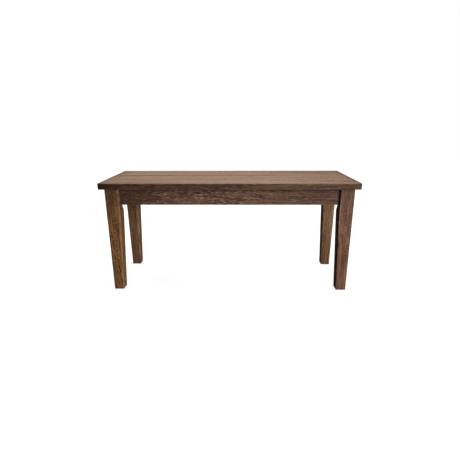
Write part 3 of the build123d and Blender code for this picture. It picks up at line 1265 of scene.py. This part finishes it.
def leg_levels():
    """The heights at which a leg is drawn, close together at the foot and the run-out."""
    to_bevel = flat_cutter_radius - flat_depth + leg_corner_bevel
    run_out_end = flat_end - math.sqrt(flat_cutter_radius**2 - to_bevel**2)
    levels = [share * foot_round for share in foot_round_shares]
    levels += steps(foot_round, taper_top, along_step)
    levels += steps(taper_top, run_out_end, along_step)[1:]
    levels += steps(run_out_end, flat_end, run_out_step)[1:]
    levels += steps(flat_end, leg_high.z, along_step)[1:]
    return levels


def leg_tones(mesh, points, corner, outer_x):
    """More wear on a leg's inner arrises, and painted shade under the seat on the front legs, low
    on the back legs, and on the inner faces.
    """
    x, z = points[:, 0], points[:, 2]
    inwards = np.abs(x - outer_x) / (leg_high.x - leg_low.x)
    worn = values_of(mesh, "worn") * (leg_outer_wear + leg_inner_wear * inwards)
    if corner.endswith("right"):
        worn *= leg_foot_wear + (1 - leg_foot_wear) * eased(z, *leg_above_foot)
        worn *= 1 - eased(z, *leg_top_wear_loss)
    write_values(mesh, "worn", worn)
    under_seat = eased(z, *leg_under_seat)
    to_middle = -math.copysign(1, outer_x) * normals_of(mesh)[:, 0]
    inside = eased(to_middle, *leg_faces_in) * (1 - leg_inner_top_loss * under_seat)
    # Painted shade: under the seat on the front legs, low down on the back legs, and on the faces
    # turned inwards
    stain_and_painted_shade = leg_front_shade * under_seat
    if corner.startswith("back"):
        stain_and_painted_shade = eased(z, *leg_back_foot_shade)
    write_values(mesh, "deeper", np.maximum(stain_and_painted_shade, leg_inner_shade[corner] * inside))


def leg(corner):
    """A leg, tapered on its two inner faces and cut to a flat behind the aprons."""
    node = f"leg_{corner}"
    low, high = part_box(node)
    right = 1 if corner.endswith("right") else -1
    back = 1 if corner.startswith("back") else -1
    outer_x = high.x if right == 1 else low.x
    outer_y = high.y if back == 1 else low.y
    rings = []
    for height in leg_levels():
        side = leg_side(height)
        outline = leg_outline(side, corner_cut(height))
        rise = max(0.0, foot_round - height)
        inset = foot_round - math.sqrt(foot_round**2 - rise**2)
        outline = (outline - side / 2) * (1 - 2 * inset / side) + side / 2
        ring = np.empty((len(outline), 3))
        ring[:, 0] = outer_x - right * outline[:, 0]
        ring[:, 1] = outer_y - back * outline[:, 1]
        ring[:, 2] = height
        rings.append(ring)
    points, faces = lofted(rings)
    mesh = weathered(mesh_of(node, points, faces), node)
    leg_tones(mesh, points, corner, outer_x)
    return node, mesh


# Where each piece lay in its log, in metres: the heart's distances, its lean and a place along it

inner_heart = (0.02, 0.07)
inner_shift = (20, 30)
logs = {
    "seat_board_front": ((0.084, -0.02), (0.02, 0.012), 0.4),
    "seat_board_middle": ((0.078, 0.03), (-0.015, 0.02), 1.9),
    "seat_board_back": ((0.099, -0.04), (0.012, -0.018), 3.3),
    "apron_front": ((0.018, 0.006), (0.02, 0.035), 5.2),
    "apron_back": ((-0.06, 0.01), (0.02, 0.03), 6.8),
    "apron_left": ((0.02, 0.06), (0.02, 0.02), 8.1),
    "apron_right": ((0.02, -0.06), (0.02, -0.02), 9.4),
    "leg_front_left": ((0.05, 0.06), (0.01, 0.02), 10.7),
    "leg_front_right": ((-0.06, 0.05), (0.015, -0.02), 12.2),
    "leg_back_left": ((0.06, -0.05), (-0.02, 0.015), 13.6),
    "leg_back_right": ((-0.05, -0.06), (0.02, 0.01), 15.1),
}

for place in ("front", "middle", "back"):
    node, mesh = seat_board(place)
    laid_in_log(mesh, 0, *logs[node])
    piece(node.replace("seat_board", "seat_plank"), mesh, seat_wood, "seat_wood", node)

for side in ("front", "back", "left", "right"):
    node, mesh = apron(side)
    laid_in_log(mesh, 0 if side in ("front", "back") else 1, *logs[node])
    piece(node.replace("apron", "rail"), mesh, frame_wood, "frame_wood", node)

leg_woods = {
    "front_left": warm_leg_wood,
    "front_right": plum_leg_wood,
    "back_left": leg_wood,
    "back_right": leg_wood,
}
for corner in leg_woods:
    node, mesh = leg(corner)
    laid_in_log(mesh, 2, *logs[node])
    piece(node.replace("leg", "tapered_leg"), mesh, leg_woods[corner], "leg_wood", node)


def plain_wood_piece(node, name, along, bevel, material, slot):
    """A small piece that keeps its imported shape, eased and lightly marked."""
    mesh = weathered(copied_mesh(node, bevel), node, marks=plane_marks_inside)
    heart = unlike(node, *inner_heart, count=2)
    laid_in_log(mesh, along, heart, shift=unlike(node, *inner_shift))
    piece(name, mesh, material, slot, node)


for corner in leg_woods:
    plain_wood_piece(f"corner_block_{corner}", f"block_{corner}", 2, inner_bevel,
                     inner_wood, "inner_wood")
plain_wood_piece("seat_batten", "batten", 1, inner_bevel, inner_wood, "inner_wood")
plain_wood_piece("seat_buttons", "buttons", 1, inner_bevel, inner_wood, "inner_wood")
plain_wood_piece("seat_tongues", "tongues", 0, tongue_bevel, tongue_wood, "tongue_wood")


# Fasteners


def thread(length, core, depth, pitch):
    """Rows of a screw thread from 0 to this length, winding up round Z."""
    turns = np.arange(round_sides) / round_sides
    rows = []
    for height in steps(0, length, pitch / thread_steps):
        phase = (height / pitch - turns) % 1
        ridge = 1 - np.abs(2 * phase - 1)
        rows.append((core + depth * ridge, height))
    return rows


def bolt(length):
    """A hanger bolt from its machine-threaded end at 0 to its point, hidden in the leg."""
    core = bolt_radius - thread_depth
    rows = [(bolt_end_share * core, 0), (core, thread_pitch / 2)]
    for radius, height in thread(threaded_length, core, thread_depth, thread_pitch):
        rows.append((radius, height + thread_pitch))
    rows.append((bolt_radius, threaded_length + 2 * thread_pitch))
    rows.append((bolt_radius, length - bolt_point_length))
    rows.append((point_share * bolt_radius, length))
    return turned(rows)


def both_ends(low, length):
    """Rows for one end of a ring, and the same turned over for its other end."""
    return low + [(radius, length - height) for radius, height in reversed(low)]


def washer(length):
    """A flat washer with its edges just eased."""
    inner, outer, ease = washer_inner_radius, washer_outer_radius, washer_ease
    low = [(inner, ease), (inner + ease, 0), (outer - ease, 0), (outer, ease)]
    return turned(both_ends(low, length), sides=2 * round_sides, hollow=True)


def nut(length):
    """A hexagon nut with both ends chamfered, a corner pointing along X."""
    sides = 2 * round_sides
    half = nut_across_flats / 2
    hexagon = half / np.cos(side_angles(sides) % (math.tau / 6) - math.tau / 12)
    flat_ring = nut_chamfer_share * half
    drop = (hexagon - flat_ring) * math.tan(nut_chamfer_angle)
    bore = bolt_radius - thread_depth / 2
    lip = bolt_radius + nut_bore_lip
    low = [(bore, lip - bore), (lip, 0), (flat_ring, 0), (hexagon, drop)]
    return turned(both_ends(low, length), sides=sides, hollow=True)


def cross_recess(radius, sides):
    """How deep a cross-shaped recess is at each side, this far from the middle of a head."""
    angles = side_angles(sides)
    off_arm = radius * np.minimum(np.abs(np.cos(angles)), np.abs(np.sin(angles)))
    within = np.clip(cross_wall_start - off_arm / cross_half_width, 0, 1)
    along_arm = np.clip(cross_end_steepness * (1 - radius / cross_reach), 0, 1)
    return cross_depth * within * along_arm


def screw(length, pan):
    """A wood screw, its cross-recessed head at 0 and its point at this length."""
    rows = []
    for radius in steps(screw_head_middle, screw_head_radius, screw_head_step):
        height = 0
        if pan:
            dome = math.sqrt(1 - pan_head_roundness * (radius / screw_head_radius) ** 2)
            height = (screw_head_height - pan_head_edge) * (1 - dome)
        rows.append((radius, height + cross_recess(radius, head_sides)))
    if pan:
        rows.append((screw_head_radius, screw_head_height))
    rows.append((screw_radius, screw_head_height))
    rows.append((screw_radius, length - screw_point_length))
    rows.append((point_share * screw_radius, length))
    return turned(rows, sides=head_sides)


def fitted(node, name, shape, way_in, material, slot):
    """A detailed fastener in the place of each solid of a node, pointing its own way in."""
    points, faces = [], []
    offset = 0
    for corners in solids_of(node):
        low, high = corners.min(axis=0), corners.max(axis=0)
        middle = (high + low) / 2
        ahead = Vector(way_in(middle, high - low))
        ahead.normalize()
        stands = abs(ahead.z) > 0.5
        level = Vector((1, 0, 0)) if stands else Vector((-ahead.y, ahead.x, 0))
        upright = ahead.cross(level)
        reach = corners @ np.array(ahead)
        start = middle + np.array(ahead) * (reach.min() - middle @ np.array(ahead))
        shape_points, shape_faces = shape(reach.max() - reach.min())
        points.append(shape_points @ np.array([level, upright, ahead]) + start)
        faces += [[index + offset for index in face] for face in shape_faces]
        offset += len(shape_points)
    piece(name, mesh_of(name, np.concatenate(points), faces), material, slot, node)


def towards_leg(middle, size):
    """The way a hanger bolt points: level, from the bench's middle along the diagonal."""
    return (math.copysign(1, middle[0]), math.copysign(1, middle[1]), 0)


def upwards(middle, size):
    """The way a screw into the seat points."""
    return (0, 0, 1)


def into_apron(middle, size):
    """The way a block's screw points: along its own length, away from the bench's middle."""
    if size[0] > size[1]:
        return (math.copysign(1, middle[0]), 0, 0)
    return (0, math.copysign(1, middle[1]), 0)


def pan_screw(length):
    """A screw with a domed head."""
    return screw(length, pan=True)


def flat_screw(length):
    """A screw with a flat head."""
    return screw(length, pan=False)


fitted("hanger_bolts", "bolts", bolt, towards_leg, zinc_steel, "zinc_steel")
fitted("hanger_bolt_washers", "washers", washer, towards_leg, zinc_steel, "zinc_steel")
fitted("hanger_bolt_nuts", "nuts", nut, towards_leg, zinc_steel, "zinc_steel")
for node, name, shape, way_in in (
    ("corner_block_screws", "block_screws", pan_screw, into_apron),
    ("seat_button_screws", "button_screws", flat_screw, upwards),
    ("seat_batten_screws", "batten_screws", pan_screw, upwards),
):
    fitted(node, name, shape, way_in, screw_steel, "screw_steel")


# Studio

camera_place = (29.5 * mm, -1493.6 * mm, 679.6 * mm)
camera_pitch = 0.3033
camera_yaw = 0.0195
camera_roll = -0.004
camera_lens = 27.61
camera_sensor = 36.0


def studio_camera():
    """A camera that sees the bench from the photograph's angle."""
    data = bpy.data.cameras.new("camera")
    data.lens = camera_lens
    data.sensor_width = camera_sensor
    made = new_object("camera", data)
    turned_left = Matrix.Rotation(camera_yaw, 4, "Z")
    tipped_up = Matrix.Rotation(math.radians(90) - camera_pitch, 4, "X")
    rolled = Matrix.Rotation(camera_roll, 4, "Z")
    made.matrix_world = Matrix.Translation(camera_place) @ turned_left @ tipped_up @ rolled
    bpy.context.scene.camera = made


def soft_light(name, place, aim, size, power, mirrored=True):
    """A flat lamp. One that isn't mirrored lights the bench and leaves no sheen on it."""
    data = bpy.data.lights.new(name, "AREA")
    data.shape = "RECTANGLE"
    data.size, data.size_y = size
    data.energy = power
    made = new_object(name, data)
    made.visible_glossy = mirrored
    made.location = place
    made.rotation_euler = (Vector(aim) - Vector(place)).to_track_quat("-Z", "Y").to_euler()


def pale_floor():
    """A plain pale floor that takes a faint shadow. From below it lets the view through."""
    reach = 40.0
    own_grey = (0.2, 0.2, 0.2, 1)
    glow_near, glow_far = 0.9, 1.0
    near, far = 0.7, 1.8
    points = [(-reach, -reach, 0), (reach, -reach, 0), (reach, reach, 0), (-reach, reach, 0)]
    mesh = bpy.data.meshes.new("floor")
    mesh.from_pydata(points, [], [(0, 1, 2, 3)])
    made, tree = new_material("floor")
    pale = put(tree, "BsdfDiffuse", {"Color": own_grey})
    away = length_of(tree, put(tree, "TexCoord").outputs["Object"])
    level = ramp(tree, away, near, far, glow_near, glow_far)
    bright = put(tree, "Emission", {"Color": (1, 1, 1, 1), "Strength": level})
    lit = put(tree, "AddShader", {0: pale.outputs[0], 1: bright.outputs[0]})
    clear = put(tree, "BsdfTransparent")
    from_below = put(tree, "NewGeometry").outputs["Backfacing"]
    shown = put(tree, "MixShader", {0: from_below, 1: lit.outputs[0], 2: clear.outputs[0]})
    put(tree, "OutputMaterial", {"Surface": shown.outputs[0]})
    mesh.materials.append(made)
    floor = new_object("floor", mesh)
    floor.visible_diffuse = False
    floor.visible_glossy = False
    floor.visible_shadow = False


def studio_room(seen, lit):
    """White all round to the eye, with less light from it on the bench."""
    world = bpy.data.worlds.new("studio")
    world.use_nodes = True
    tree = world.node_tree
    tree.nodes.clear()
    to_eye = put(tree, "LightPath").outputs["Is Camera Ray"]
    dim = put(tree, "Background", {"Color": (1, 1, 1, 1), "Strength": lit})
    white = put(tree, "Background", {"Color": (1, 1, 1, 1), "Strength": seen})
    both = put(tree, "MixShader", {0: to_eye, 1: dim.outputs[0], 2: white.outputs[0]})
    put(tree, "OutputWorld", {"Surface": both.outputs[0]})
    bpy.context.scene.world = world
    bpy.context.scene.view_settings.view_transform = "Standard"


studio_camera()
pale_floor()
studio_room(seen=1.0, lit=0.05)
soft_light("front", place=(1.0, -1.9, 0.85), aim=(0.2, 0, 0.35), size=(0.8, 0.8), power=41)
soft_light("right side", place=(2.1, -0.3, 0.9), aim=(0, 0, 0.3), size=(1.0, 1.0), power=22)
soft_light("back", place=(0.4, 2.3, 0.6), aim=(0, 0, 0.3), size=(1.6, 0.7), power=22,
           mirrored=False)
soft_light("floor's bounce", place=(0, 0, -1.5), aim=(0, 0, 0), size=(3.0, 2.0), power=12)
soft_light("overhead", place=(-0.1, 0.35, 2.2), aim=(0, 0, 0.4), size=(2.2, 1.2), power=68)
